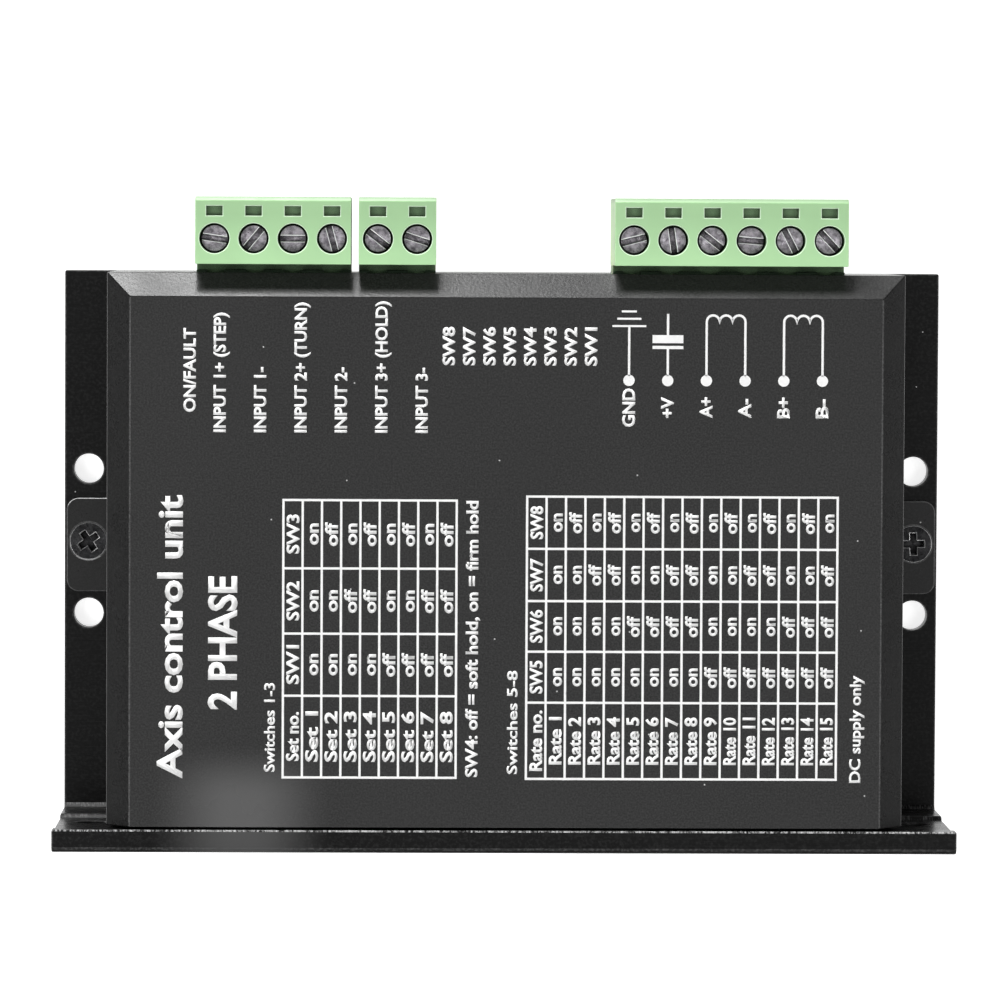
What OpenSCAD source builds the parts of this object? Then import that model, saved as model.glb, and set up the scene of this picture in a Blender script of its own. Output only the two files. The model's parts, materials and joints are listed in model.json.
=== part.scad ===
// Two-phase stepper motor driver module.
// Origin: centre of the four flange holes, on the underside of the base plate.
// +X runs along the module, -Y is the connector side, +Z points away from the base.

/* [Heatsink] */
// Length of the module along X
module_l = 118; // [114:0.5:130]
// Depth of the module along Y, wall included
module_d = 75.5; // [75:0.5:85]
// Thickness of the base plate
base_t = 3; // [2.5:0.1:3.5]
// Height of the upright wall above the underside
wall_h = 34; // [33.6:0.1:36]
// Thickness of the upright wall
wall_t = 3; // [2.4:0.1:3.2]
// Depth of the shallow recess in the wall's inner face
recess_d = 0.5; // [0.2:0.1:0.8]
// Distance from the connector edge to the centre of the flange holes
hole_y = 36.5; // [34:0.5:38]
// Flange hole spacing along X
hole_pitch_x = 111.5; // [111:0.5:112]
// Flange hole spacing along Y
hole_pitch_y = 19.5; // [19:0.5:22]
// Diameter of the flange and wall holes
hole_d = 4; // [3.5:0.1:4.2]
// Spacing of the two holes in the wall
side_pitch = 109; // [107:0.5:110]
// Height of the two holes in the wall
side_z = 19; // [17:0.5:25]

/* [Cover] */
// Width of the cover over its side walls
cover_w = 104; // [103.5:0.1:104.5]
// Height of the cover's top face above the underside
cover_h = 33.8; // [33.5:0.1:34.5]
// Sheet thickness
sheet_t = 1; // [0.8:0.1:1.2]
// Size of the 45 degree bevel along three top edges
bevel = 3.1; // [2.5:0.1:3.5]
// Gap between the cover's rear edge and the wall
rear_gap = 0.35; // [0.25:0.05:1]
// Length of a screw ear along Y
ear_l = 12.6; // [11:0.2:13]
// Gap between the ear's end and the flange edge
ear_inset = 0.35; // [0.2:0.05:0.8]
// Corner radius of a screw ear
ear_r = 1.6; // [1:0.1:2.5]
// Head diameter of the cover screws
cover_head_d = 5; // [4.6:0.1:5.6]

/* [Board] */
// Height of the board's underside
board_z = 17; // [16.8:0.1:17]
// Board thickness
board_t = 1.6; // [1.5:0.1:1.6]
// Board length along X
board_l = 100; // [99:0.5:101]
// Board depth along Y
board_d = 69; // [66:0.5:69]
// Across-flats size of the standoffs
standoff_af = 5.5; // [5:0.5:6]

/* [Connectors] */
// How far the plugs stand out past the cover
plug_out = 9.85; // [9.65:0.05:10.5]
// Height of a plug body
plug_h = 15.1; // [15.1:0.1:15.5]
// Diameter of the screwdriver hole
driver_d = 3.9; // [3.8:0.05:4]
// Diameter of the terminal screw's head
head_d = 3.5; // [3.4:0.05:3.65]
// Stroke of a wire clamp
clamp_stroke = 3; // [2:0.1:3]

/* [Switches] */
// Stroke of a slider
dip_stroke = 1.8; // [1.2:0.1:1.8]

/* [Hidden] */
$fn = 48;
// Overlap that makes a cut run clean through
cut = 1;
// Overlap that fuses two solids of one piece
fuse = 0.1;
// Overlap of two cuts that meet, or the play of two faces that touch
seam = 0.02;

// Fasteners, all M3
m3_d = 3;
m3_hole = 3.12;
pan_d = 5.6;
pan_h = 2;
pan_l = 8;
recess_w = 0.9;
recess_l = 3;
pan_recess = 1.3;
cover_recess = 1.1;
// Turn of the cross recess in each cover screw, from low X to high X
cover_recess_turns = [2, 34];
// Spare depth below a screw in a blind hole
tap_spare = 0.2;
stud_hole_l = 2;

// Faces of the heatsink
front_y = -hole_y;
back_y = front_y + module_d;
wall_y = back_y - wall_t;
// Recess in the wall's inner face, from just above the flange to below the rim
recess_low = 13;
recess_high = wall_h - 2.6;
edge_r = 0.5;

// Cover
cover_back = wall_y - rear_gap;
cover_d = cover_back - front_y;
cover_low = base_t;
ear_y = 0.5;
ear_end = module_l / 2 - ear_inset;
cover_screw_x = hole_pitch_x / 2;
cover_head_h = (cover_head_d - m3_d) / 2;
cover_head_gap = 0.15;
cover_screw_low = 0.2;
// The opening in the cover's front for headers and switch
window_low_x = -44.9;
window_high_x = 41;
window_low = board_z + 0.9;
window_high = board_z + 11.7;
led_window_d = 3.5;

// Board
board_y = front_y + 1.3;
board_top = board_z + board_t;
board_screw_x = 47.3;
board_screw_y = [board_y + 11.7, board_y + 44.7];

// Plugs: number of poles and the X of the first pole, in order along -X
pitch = 5.08;
poles = [4, 2, 6];
first_x = [38, 16.8, -16.45];
pole_count = 12;
plug_end_gap = 0.05;
plug_drop = 0.1;
plug_z = board_top - plug_drop;
plug_top = plug_z + plug_h;
plug_front = front_y - plug_out;
plug_back = front_y - 1.1;
plug_chamfer = 0.5;
screw_y = front_y - 4.43;
probe_w = 2.1;
probe_l = 1.25;
probe_depth = 1.6;
probe_y = plug_front + 1.85;
entry_w = 3.7;
entry_flare = 0.45;

// Plug nose and the header cavity round it
cavity_low = board_top + 1.4;
nose_gap = 0.15;
nose_end = front_y + 7.6;
header_front = front_y - 0.35;
header_back = front_y + 10.4;
header_top = board_top + 8.5;
header_wall = 1.1;
cavity_end = front_y + 8.2;
notch_w = 2.3;
notch_l = 1.1;
pin_w = 1;
pin_fit = 0.02;
pin_z = board_top + 4.4;
pin_tip = front_y + 1;
pin_leg_y = front_y + 11.2;
pin_below = 1.5;
pin_hole_d = 1.5;

// Terminal screw
screw_top = plug_top - 1.3;
head_h = 1.7;
shelf_z = screw_top - head_h;
shelf_t = 1;
shank_d = 2.6;
thread_hole_d = 2.7;
slot_w = 0.75;
slot_d = 0.9;
slot_angles = [-8, 50, 0, 105, -38, -18, 15, 98, -38, -5, -63, -47];

// Wire clamp and the chamber that it rises in
chamber_top = shelf_z - shelf_t;
chamber_w = 4.3;
chamber_l = 5.3;
chamber_low = plug_z + 0.85;
clamp_gap = 0.15;
clamp_low_gap = 0.05;
clamp_top_gap = 0.1;
clamp_w = chamber_w - 2 * clamp_gap;
clamp_l = chamber_l - 2 * clamp_gap;
clamp_low = chamber_low + clamp_low_gap;
clamp_h = chamber_top - chamber_low - clamp_stroke - clamp_top_gap;
clamp_floor = 0.8;
clamp_roof = 1.25;
clamp_side = 0.6;

// Spring contact
blade_w = 2.6;
blade_t = 0.8;
blade_z = chamber_low + 5;
finger_t = 0.4;
finger_gap = 1.1;
finger_h = 2.4;
contact_end = nose_end - 0.6;
contact_room = 3;
contact_room_low = blade_z - finger_h - 0.3;

// DIP switch
dip_count = 8;
dip_pitch = 2.54;
dip_x = -2.35;
dip_w = dip_count * dip_pitch + 1.3;
dip_h = 9.7;
dip_l = 5.8;
dip_y = front_y + 0.3;
dip_slot_w = 1.3;
dip_slot_l = 4.2;
dip_slot_d = 1.6;
dip_slot_z = board_top + 2.75;
slider_w = 1.1;
slider_l = 2;
slider_out = 0.25;

// Status lights
led_x = 44.2;
led_d = 3;
led_hole_d = 3.2;
led_flange_d = 3.7;
led_flange_t = 1;
led_tip_y = front_y + 0.2;
led_low = board_top + 3;
led_step = 4.3;
led_holder_w = 4.4;
led_holder_l = 4;
led_holder_h = 9.6;
led_holder_y = front_y + 1.3;

// Power stage
transistor_x = [-40.6, -29.8, -19, -8.2, 8.2, 19, 29.8, 40.6];
transistor_w = 10.2;
transistor_body_l = 9.2;
transistor_t = 4.4;
tab_t = 1.3;
tab_l = 6.4;
tab_hole_d = 3.6;
pad_t = 0.3;
pad_hole_d = 4;
transistor_y = front_y + 55.3;
lead_w = 0.8;
lead_pitch = 2.54;
lead_run = 3;
lead_hole_d = 1.1;
bar_l = 101;
bar_w = 8;
bar_t = 2;
bar_y = transistor_y + 4.6;
bar_z = base_t + pad_t + transistor_t;
bar_screw_x = [-48, 0, 48];

body_black = [0.13, 0.13, 0.135];
metal_black = [0.09, 0.09, 0.095];
plug_green = [0.56, 0.8, 0.5];
header_green = [0.33, 0.6, 0.33];
zinc = [0.62, 0.62, 0.66];
brass = [0.78, 0.66, 0.38];
chip_black = [0.12, 0.12, 0.12];

function pole_plug(i) = i <= poles[0] ? 0 : i <= poles[0] + poles[1] ? 1 : 2;
function poles_before(p) = p == 0 ? 0 : p == 1 ? poles[0] : poles[0] + poles[1];
function pole_x(i) =
    first_x[pole_plug(i)] - pitch * (i - 1 - poles_before(pole_plug(i)));
function plug_low_x(p) = first_x[p] - pitch * (poles[p] - 0.5) + plug_end_gap;
function plug_w(p) = pitch * poles[p] - 2 * plug_end_gap;
function dip_slider_x(i) = dip_x + dip_pitch * ((dip_count + 1) / 2 - i);

// ---- helpers ----

// A box from its low corner to its high corner
module span(low, high) {
    translate(low)
        cube(high - low);
}

// A straight extrusion of a (Y, Z) outline along X, from low_x
module along_x(low_x, length) {
    translate([low_x, 0, 0])
        rotate([90, 0, 90])
            linear_extrude(length)
                children();
}

// A straight extrusion of an (X, Z) outline along Y, from low_y
module along_y(low_y, length) {
    translate([0, low_y + length, 0])
        rotate([90, 0, 0])
            linear_extrude(length)
                children();
}

// A cross recess, cut downwards from z = 0
module cross_recess(depth) {
    for (angle = [0, 90])
        rotate(angle)
            translate([-recess_l / 2, -recess_w / 2, -depth])
                cube([recess_l, recess_w, depth + cut]);
    translate([0, 0, -depth])
        cylinder(h = depth + cut, r1 = recess_w / 2, r2 = recess_w);
}

// One pan head screw with its head resting at z = 0
module pan_screw() {
    difference() {
        union() {
            cylinder(h = pan_h, d1 = pan_d, d2 = pan_d - 1);
            translate([0, 0, -pan_l])
                cylinder(h = pan_l + fuse, d = m3_d);
        }
        translate([0, 0, pan_h])
            cross_recess(pan_recess);
    }
}

// ---- heatsink and cover ----

// The L profile in (Y, Z), with the wall's shallow inner recess
module heatsink_profile() {
    polygon([
        [front_y, 0],
        [back_y - edge_r, 0],
        [back_y, edge_r],
        [back_y, wall_h - edge_r],
        [back_y - edge_r, wall_h],
        [wall_y, wall_h],
        [wall_y, recess_high],
        [wall_y + recess_d, recess_high - recess_d],
        [wall_y + recess_d, recess_low + recess_d],
        [wall_y, recess_low],
        [wall_y, base_t + edge_r],
        [wall_y - edge_r, base_t],
        [front_y, base_t]
    ]);
}

module heatsink() {
    color(metal_black)
        difference() {
            along_x(-module_l / 2, module_l)
                heatsink_profile();
            for (x = [-1, 1], y = [-1, 1])
                translate([x * hole_pitch_x / 2, y * hole_pitch_y / 2, -cut])
                    cylinder(h = base_t + 2 * cut, d = hole_d);
            for (x = [-1, 1])
                translate([x * side_pitch / 2, wall_y - cut, side_z])
                    rotate([-90, 0, 0])
                        cylinder(h = wall_t + 2 * cut, d = hole_d);
            for (x = [-1, 1])
                translate([x * cover_screw_x, 0, -cut])
                    cylinder(h = base_t + 2 * cut, d = m3_hole);
            for (x = [-1, 1], y = board_screw_y)
                translate([x * board_screw_x, y, base_t - stud_hole_l])
                    cylinder(h = stud_hole_l + cut, d = m3_hole);
            for (x = bar_screw_x)
                translate([x, bar_y, bar_z + bar_t - pan_l - tap_spare])
                    cylinder(h = pan_l, d = m3_hole);
        }
}

// Outline of the cover in (X, Z), inset from its outside and running on below it
module cover_outline(inset, run_on) {
    half = cover_w / 2 - inset;
    top = cover_h - inset;
    slope = bevel - inset * (2 - sqrt(2));
    polygon([
        [-half, cover_low - run_on],
        [half, cover_low - run_on],
        [half, top - slope],
        [half - slope, top],
        [-half + slope, top],
        [-half, top - slope]
    ]);
}

// Outline of the cover in (Y, Z), inset and running on below and behind it
module cover_side(inset, run_on) {
    low_y = front_y + inset;
    top = cover_h - inset;
    slope = bevel - inset * (2 - sqrt(2));
    polygon([
        [low_y, cover_low - run_on],
        [cover_back + run_on, cover_low - run_on],
        [cover_back + run_on, top],
        [low_y + slope, top],
        [low_y, top - slope]
    ]);
}

// The bevelled block whose skin is the cover
module cover_block(inset, run_on) {
    intersection() {
        along_y(front_y - cut, cover_d + 3 * cut)
            cover_outline(inset, run_on);
        along_x(-cover_w / 2 - cut, cover_w + 2 * cut)
            cover_side(inset, run_on);
    }
}

// One screw ear, reaching along +X from the cover's side wall
module screw_ear() {
    inner = cover_w / 2 - sheet_t / 2;
    translate([0, ear_y, 0])
        union() {
            span([inner, -ear_l / 2, base_t],
                 [ear_end - ear_r, ear_l / 2, base_t + sheet_t]);
            span([inner, -ear_l / 2 + ear_r, base_t],
                 [ear_end, ear_l / 2 - ear_r, base_t + sheet_t]);
            for (y = [-1, 1])
                translate([ear_end - ear_r, y * (ear_l / 2 - ear_r), base_t])
                    cylinder(h = sheet_t, r = ear_r);
        }
}

// A countersink whose mouth is at z = 0, run on upwards to clear the sheet
module countersink() {
    mouth_d = cover_head_d + cover_head_gap;
    translate([0, 0, -cover_head_h])
        cylinder(h = cover_head_h, d1 = m3_hole, d2 = mouth_d);
    translate([0, 0, -seam])
        cylinder(h = cut, d = mouth_d);
}

module cover() {
    color(body_black)
        difference() {
            union() {
                difference() {
                    cover_block(0, 0);
                    cover_block(sheet_t, cut);
                }
                screw_ear();
                mirror([1, 0, 0])
                    screw_ear();
            }
            span([window_low_x, front_y - cut, window_low],
                 [window_high_x, front_y + sheet_t + cut, window_high]);
            for (k = [0, 1])
                translate([led_x, front_y - cut, led_low + k * led_step])
                    rotate([-90, 0, 0])
                        cylinder(h = sheet_t + 2 * cut, d = led_window_d);
            for (x = [-1, 1])
                translate([x * cover_screw_x, 0, base_t + sheet_t])
                    countersink();
            for (x = [-1, 1])
                translate([x * cover_screw_x, 0, base_t - cut])
                    cylinder(h = sheet_t + 2 * cut, d = m3_hole);
        }
}

module cover_screws() {
    color(metal_black)
        for (k = [0, 1])
            translate([(2 * k - 1) * cover_screw_x, 0, 0])
                difference() {
                    union() {
                        translate([0, 0, cover_screw_low])
                            cylinder(h = base_t + sheet_t - cover_screw_low - fuse, d = m3_d);
                        translate([0, 0, base_t + sheet_t - cover_head_h])
                            cylinder(h = cover_head_h, d1 = m3_d, d2 = cover_head_d);
                    }
                    translate([0, 0, base_t + sheet_t])
                        rotate(cover_recess_turns[k])
                            cross_recess(cover_recess);
                }
}

// ---- board and what stands on it ----

module circuit_board() {
    color([0.1, 0.32, 0.16])
        difference() {
            span([-board_l / 2, board_y, board_z],
                 [board_l / 2, board_y + board_d, board_top]);
            for (x = [-1, 1], y = board_screw_y)
                translate([x * board_screw_x, y, board_z - cut])
                    cylinder(h = board_t + 2 * cut, d = m3_hole);
            for (i = [1 : pole_count])
                translate([pole_x(i), pin_leg_y, board_z - cut])
                    cylinder(h = board_t + 2 * cut, d = pin_hole_d);
            for (x = transistor_x, k = [-1 : 1])
                translate([x + k * lead_pitch, transistor_y - lead_run, board_z - cut])
                    cylinder(h = board_t + 2 * cut, d = lead_hole_d);
        }
}

module board_standoffs() {
    stud_l = 1.8;
    color(brass)
        for (x = [-1, 1], y = board_screw_y)
            translate([x * board_screw_x, y, base_t])
                difference() {
                    union() {
                        cylinder(h = board_z - base_t, d = standoff_af / cos(30), $fn = 6);
                        translate([0, 0, -stud_l])
                            cylinder(h = stud_l + fuse, d = m3_d);
                    }
                    translate([0, 0, board_z - base_t - pan_l])
                        cylinder(h = pan_l + cut, d = m3_hole);
                }
}

module pan_head_screws() {
    color(zinc) {
        for (x = [-1, 1], y = board_screw_y)
            translate([x * board_screw_x, y, board_top])
                pan_screw();
        for (x = bar_screw_x)
            translate([x, bar_y, bar_z + bar_t])
                pan_screw();
    }
}

// Header shell of plug p: open ends, notched top lip and a hole for each pin
module header_shell(p) {
    pin_hole = pin_w + 2 * pin_fit;
    color(header_green)
        difference() {
            along_x(plug_low_x(p), plug_w(p))
                polygon([
                    [header_front, board_top],
                    [header_back, board_top],
                    [header_back, header_top],
                    [header_front, header_top],
                    [header_front, header_top - header_wall],
                    [cavity_end, header_top - header_wall],
                    [cavity_end, cavity_low],
                    [header_front, cavity_low]
                ]);
            for (k = [1 : poles[p]])
                translate([pole_x(k + poles_before(p)), 0, 0]) {
                    span([-notch_w / 2, header_front - cut, header_top - header_wall - cut],
                         [notch_w / 2, header_front + notch_l, header_top + cut]);
                    span([-pin_hole / 2, cavity_end - cut, pin_z - pin_hole / 2],
                         [pin_hole / 2, header_back + cut, pin_z + pin_hole / 2]);
                }
        }
}

module signal_header() {
    header_shell(0);
}

module enable_header() {
    header_shell(1);
}

module power_header() {
    header_shell(2);
}

module header_pins() {
    half = pin_w / 2;
    color(zinc)
        for (i = [1 : pole_count])
            translate([pole_x(i), 0, 0]) {
                span([-half, pin_tip, pin_z - half],
                     [half, pin_leg_y + half, pin_z + half]);
                span([-half, pin_leg_y - half, board_z - pin_below],
                     [half, pin_leg_y + half, pin_z + half]);
            }
}

module dip_switch_body() {
    color([0.7, 0.12, 0.1])
        difference() {
            span([dip_x - dip_w / 2, dip_y, board_top],
                 [dip_x + dip_w / 2, dip_y + dip_l, board_top + dip_h]);
            for (i = [1 : dip_count])
                translate([dip_slider_x(i), 0, 0])
                    span([-dip_slot_w / 2, dip_y - cut, dip_slot_z],
                         [dip_slot_w / 2, dip_y + dip_slot_d, dip_slot_z + dip_slot_l]);
        }
}

module dip_slider(i) {
    end_gap = (dip_slot_l - slider_l - dip_stroke) / 2;
    back_gap = 0.1;
    color("white")
        translate([dip_slider_x(i), 0, dip_slot_z + end_gap])
            span([-slider_w / 2, dip_y - slider_out, 0],
                 [slider_w / 2, dip_y + dip_slot_d - back_gap, slider_l]);
}

module led_holder() {
    color(body_black)
        difference() {
            span([led_x - led_holder_w / 2, led_holder_y, board_top],
                 [led_x + led_holder_w / 2, led_holder_y + led_holder_l,
                  board_top + led_holder_h]);
            for (k = [0, 1])
                translate([led_x, led_holder_y - cut, led_low + k * led_step])
                    rotate([-90, 0, 0])
                        cylinder(h = led_holder_l + 2 * cut, d = led_hole_d);
        }
}

// One round light with a domed tip, k steps above the lowest place
module status_led(k) {
    dome_r = led_d / 2;
    tube_l = led_holder_y + led_holder_l - led_tip_y - dome_r;
    translate([led_x, led_tip_y + dome_r, led_low + k * led_step])
        rotate([-90, 0, 0]) {
            sphere(r = dome_r);
            cylinder(h = tube_l + fuse, r = dome_r);
            translate([0, 0, tube_l])
                cylinder(h = led_flange_t, d = led_flange_d);
        }
}

module power_led() {
    color([0.3, 0.9, 0.4])
        status_led(1);
}

module alarm_led() {
    color([0.9, 0.25, 0.2])
        status_led(0);
}

module bulk_capacitors() {
    can_r = 6;
    can_l = 24;
    can_x = -40;
    can_y = [front_y + 20, front_y + 34];
    crimp = 0.5;
    crimp_x = 2;
    color([0.2, 0.22, 0.4])
        for (y = can_y)
            translate([can_x, y, board_top + can_r])
                rotate([0, 90, 0])
                    rotate_extrude()
                        polygon([
                            [0, 0],
                            [can_r, 0],
                            [can_r, crimp_x],
                            [can_r - crimp, crimp_x + crimp],
                            [can_r - crimp, crimp_x + 2 * crimp],
                            [can_r, crimp_x + 3 * crimp],
                            [can_r, can_l],
                            [0, can_l]
                        ]);
}

module power_transistors() {
    lead_t = 0.5;
    lead_z = 2.6;
    lead_top = board_top + 1 - base_t - pad_t;
    color([0.16, 0.16, 0.17])
        for (x = transistor_x)
            translate([x, transistor_y, base_t + pad_t]) {
                span([-transistor_w / 2, 0, 0],
                     [transistor_w / 2, transistor_body_l, transistor_t]);
                difference() {
                    span([-transistor_w / 2, transistor_body_l - fuse, 0],
                         [transistor_w / 2, transistor_body_l + tab_l, tab_t]);
                    translate([0, transistor_body_l + tab_l / 2, -cut])
                        cylinder(h = tab_t + 2 * cut, d = tab_hole_d);
                }
                for (k = [-1 : 1])
                    translate([k * lead_pitch, 0, lead_z]) {
                        span([-lead_w / 2, -lead_run - lead_t / 2, 0],
                             [lead_w / 2, fuse, lead_t]);
                        span([-lead_w / 2, -lead_run - lead_t / 2, 0],
                             [lead_w / 2, -lead_run + lead_t / 2, lead_top - lead_z]);
                    }
            }
}

module transistor_clamp_bar() {
    color(zinc)
        difference() {
            span([-bar_l / 2, bar_y - bar_w / 2, bar_z],
                 [bar_l / 2, bar_y + bar_w / 2, bar_z + bar_t]);
            for (x = bar_screw_x)
                translate([x, bar_y, bar_z - cut])
                    cylinder(h = bar_t + 2 * cut, d = m3_hole);
        }
}

// Soft sheet under all the transistors, holed where a bar screw passes
module thermal_pad() {
    margin = 0.3;
    half = transistor_x[len(transistor_x) - 1] + transistor_w / 2;
    color([0.55, 0.6, 0.65])
        difference() {
            span([-half, transistor_y - margin, base_t],
                 [half, transistor_y + transistor_body_l + tab_l + margin, base_t + pad_t]);
            translate([bar_screw_x[1], bar_y, base_t - cut])
                cylinder(h = pad_t + 2 * cut, d = pad_hole_d);
        }
}

module controller_chip() {
    chip_at = [12, front_y + 36, board_top];
    chip_w = 12;
    chip_h = 1.5;
    legs = 12;
    leg_pitch = 0.8;
    leg_w = 0.35;
    leg_l = 1;
    leg_h = 0.3;
    chip_gap = 0.1;
    color(chip_black)
        translate(chip_at) {
            span([-chip_w / 2, -chip_w / 2, chip_gap],
                 [chip_w / 2, chip_w / 2, chip_h]);
            for (side = [0 : 3], k = [1 : legs])
                rotate(90 * side)
                    translate([(k - (legs + 1) / 2) * leg_pitch, chip_w / 2 - fuse, 0])
                        span([-leg_w / 2, 0, 0], [leg_w / 2, leg_l + fuse, leg_h]);
        }
}

module optocouplers() {
    opto = [4.6, 6.5, 3.5];
    opto_x = [33, 26, 14];
    opto_y = front_y + 16;
    color(chip_black)
        for (x = opto_x)
            translate([x - opto[0] / 2, opto_y, board_top])
                cube(opto);
}

module sense_resistors() {
    shunt = [6.4, 3.2, 0.7];
    shunt_x = [-24.5, -13.6, 13.6, 24.5];
    shunt_y = front_y + 45;
    color(chip_black)
        for (x = shunt_x)
            translate([x - shunt[0] / 2, shunt_y, board_top])
                cube(shunt);
}

// ---- pluggable terminal blocks ----

// Everything cut out of a plug housing for one pole, at X = 0
module pole_cuts() {
    chamber_front = screw_y - chamber_l / 2;
    chamber_rear = screw_y + chamber_l / 2;
    entry_low = clamp_low + clamp_floor;
    flare = entry_w / 2 + entry_flare;
    translate([0, screw_y, shelf_z])
        cylinder(h = plug_top - shelf_z + cut, d = driver_d);
    translate([0, screw_y, chamber_top - cut])
        cylinder(h = shelf_t + 2 * cut, d = thread_hole_d);
    span([-chamber_w / 2, chamber_front, chamber_low],
         [chamber_w / 2, chamber_rear, chamber_top]);
    span([-entry_w / 2, plug_front - cut, entry_low],
         [entry_w / 2, chamber_front + cut, entry_low + entry_w]);
    span([-flare, plug_front - cut, entry_low - entry_flare],
         [flare, plug_front + entry_flare, entry_low + entry_w + entry_flare]);
    span([-probe_w / 2, probe_y - probe_l / 2, plug_top - probe_depth],
         [probe_w / 2, probe_y + probe_l / 2, plug_top + cut]);
    span([-contact_room / 2, chamber_rear - cut, contact_room_low],
         [contact_room / 2, nose_end + cut, blade_z + blade_t]);
}

module plug_housing(p) {
    nose_low = cavity_low + nose_gap;
    nose_high = header_top - header_wall - nose_gap;
    color(plug_green)
        difference() {
            along_x(plug_low_x(p), plug_w(p))
                polygon([
                    [plug_front, plug_z + plug_chamfer],
                    [plug_front + plug_chamfer, plug_z],
                    [plug_back, plug_z],
                    [plug_back, nose_low],
                    [nose_end, nose_low],
                    [nose_end, nose_high],
                    [plug_back, nose_high],
                    [plug_back, plug_top],
                    [plug_front + plug_chamfer, plug_top],
                    [plug_front, plug_top - plug_chamfer]
                ]);
            for (k = [1 : poles[p]])
                translate([pole_x(k + poles_before(p)), 0, 0])
                    pole_cuts();
        }
}

module signal_plug() {
    plug_housing(0);
}

module enable_plug() {
    plug_housing(1);
}

module power_plug() {
    plug_housing(2);
}

// Blade that a wire is clamped against, and the two fingers that grip the header pin
module contact_set(p) {
    finger_y = front_y - 0.5;
    blade_y = screw_y - 2.2;
    color(brass)
        for (k = [1 : poles[p]])
            translate([pole_x(k + poles_before(p)), 0, 0]) {
                span([-blade_w / 2, blade_y, blade_z],
                     [blade_w / 2, contact_end, blade_z + blade_t]);
                for (side = [0, 1])
                    mirror([side, 0, 0])
                        span([finger_gap / 2, finger_y, blade_z - finger_h],
                             [finger_gap / 2 + finger_t, contact_end, blade_z + fuse]);
            }
}

module signal_contacts() {
    contact_set(0);
}

module enable_contacts() {
    contact_set(1);
}

module power_contacts() {
    contact_set(2);
}

module terminal_screw(i) {
    tip_gap = 0.25;
    shank_low = blade_z + blade_t + tip_gap;
    color(zinc)
        translate([pole_x(i), screw_y, 0])
            difference() {
                union() {
                    translate([0, 0, shelf_z + seam])
                        cylinder(h = head_h - seam, d = head_d);
                    translate([0, 0, shank_low])
                        cylinder(h = shelf_z - shank_low + fuse, d = shank_d);
                }
                translate([0, 0, screw_top - slot_d])
                    rotate(slot_angles[i - 1])
                        translate([-head_d, -slot_w / 2, 0])
                            cube([2 * head_d, slot_w, slot_d + cut]);
            }
}

// Square brass cage: threaded roof, open front and back, floor that lifts the wire
module wire_clamp(i) {
    color(brass)
        translate([pole_x(i), screw_y, clamp_low])
            difference() {
                span([-clamp_w / 2, -clamp_l / 2, 0], [clamp_w / 2, clamp_l / 2, clamp_h]);
                span([-clamp_w / 2 + clamp_side, -clamp_l, clamp_floor],
                     [clamp_w / 2 - clamp_side, clamp_l, clamp_h - clamp_roof]);
                translate([0, 0, clamp_h - clamp_roof - cut])
                    cylinder(h = clamp_roof + 2 * cut, d = thread_hole_d);
            }
}

heatsink();
cover();
cover_screws();
circuit_board();
board_standoffs();
pan_head_screws();
signal_header();
enable_header();
power_header();
header_pins();
dip_switch_body();
led_holder();
power_led();
alarm_led();
bulk_capacitors();
power_transistors();
transistor_clamp_bar();
thermal_pad();
controller_chip();
optocouplers();
sense_resistors();
signal_plug();
enable_plug();
power_plug();
signal_contacts();
enable_contacts();
power_contacts();
for (i = [1 : pole_count])
    terminal_screw(i);
for (i = [1 : pole_count])
    wire_clamp(i);
for (i = [1 : dip_count])
    dip_slider(i);
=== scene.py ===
"""Looks of the stepper driver module: rounded shells, printed legend, materials, stage and camera."""
import json
import math

import bmesh
import bpy
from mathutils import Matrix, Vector

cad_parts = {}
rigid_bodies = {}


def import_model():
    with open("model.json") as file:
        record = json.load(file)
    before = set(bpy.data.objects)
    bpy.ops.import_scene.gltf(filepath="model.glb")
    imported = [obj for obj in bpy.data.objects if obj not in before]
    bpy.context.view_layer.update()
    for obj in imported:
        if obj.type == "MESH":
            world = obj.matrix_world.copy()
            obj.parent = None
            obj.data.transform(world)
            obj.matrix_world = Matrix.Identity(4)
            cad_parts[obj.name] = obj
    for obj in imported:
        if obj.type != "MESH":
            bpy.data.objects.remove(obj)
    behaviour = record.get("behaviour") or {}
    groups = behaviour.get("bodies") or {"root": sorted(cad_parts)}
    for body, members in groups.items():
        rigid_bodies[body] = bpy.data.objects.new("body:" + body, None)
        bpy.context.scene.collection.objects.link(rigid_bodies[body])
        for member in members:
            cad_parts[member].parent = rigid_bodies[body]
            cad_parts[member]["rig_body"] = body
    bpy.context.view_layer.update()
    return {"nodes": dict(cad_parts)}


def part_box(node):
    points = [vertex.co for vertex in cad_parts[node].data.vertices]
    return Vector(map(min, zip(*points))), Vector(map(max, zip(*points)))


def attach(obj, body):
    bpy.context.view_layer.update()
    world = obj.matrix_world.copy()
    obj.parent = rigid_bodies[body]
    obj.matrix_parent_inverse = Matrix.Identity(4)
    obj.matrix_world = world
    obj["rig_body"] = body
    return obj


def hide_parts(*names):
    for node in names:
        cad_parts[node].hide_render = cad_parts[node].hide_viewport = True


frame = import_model()
NODES = frame["nodes"]

MM = 0.001
ROOT = "module"
PLUGS = ("signal_plug", "enable_plug", "power_plug")
HEADERS = ("signal_header", "enable_header", "power_header")
POLE_COUNT = 12
SWITCH_COUNT = 8

# Places taken from the frame
COVER_LOW, COVER_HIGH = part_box("cover")
SINK_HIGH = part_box("heatsink")[1]
PLUG_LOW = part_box("power_plug")[0]
TOP_Z = COVER_HIGH.z

# Sizes that part.scad has too
HOLE_PITCH_X = 111.5 * MM
POLE = 5.08 * MM
WALL_T = 3 * MM

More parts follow.
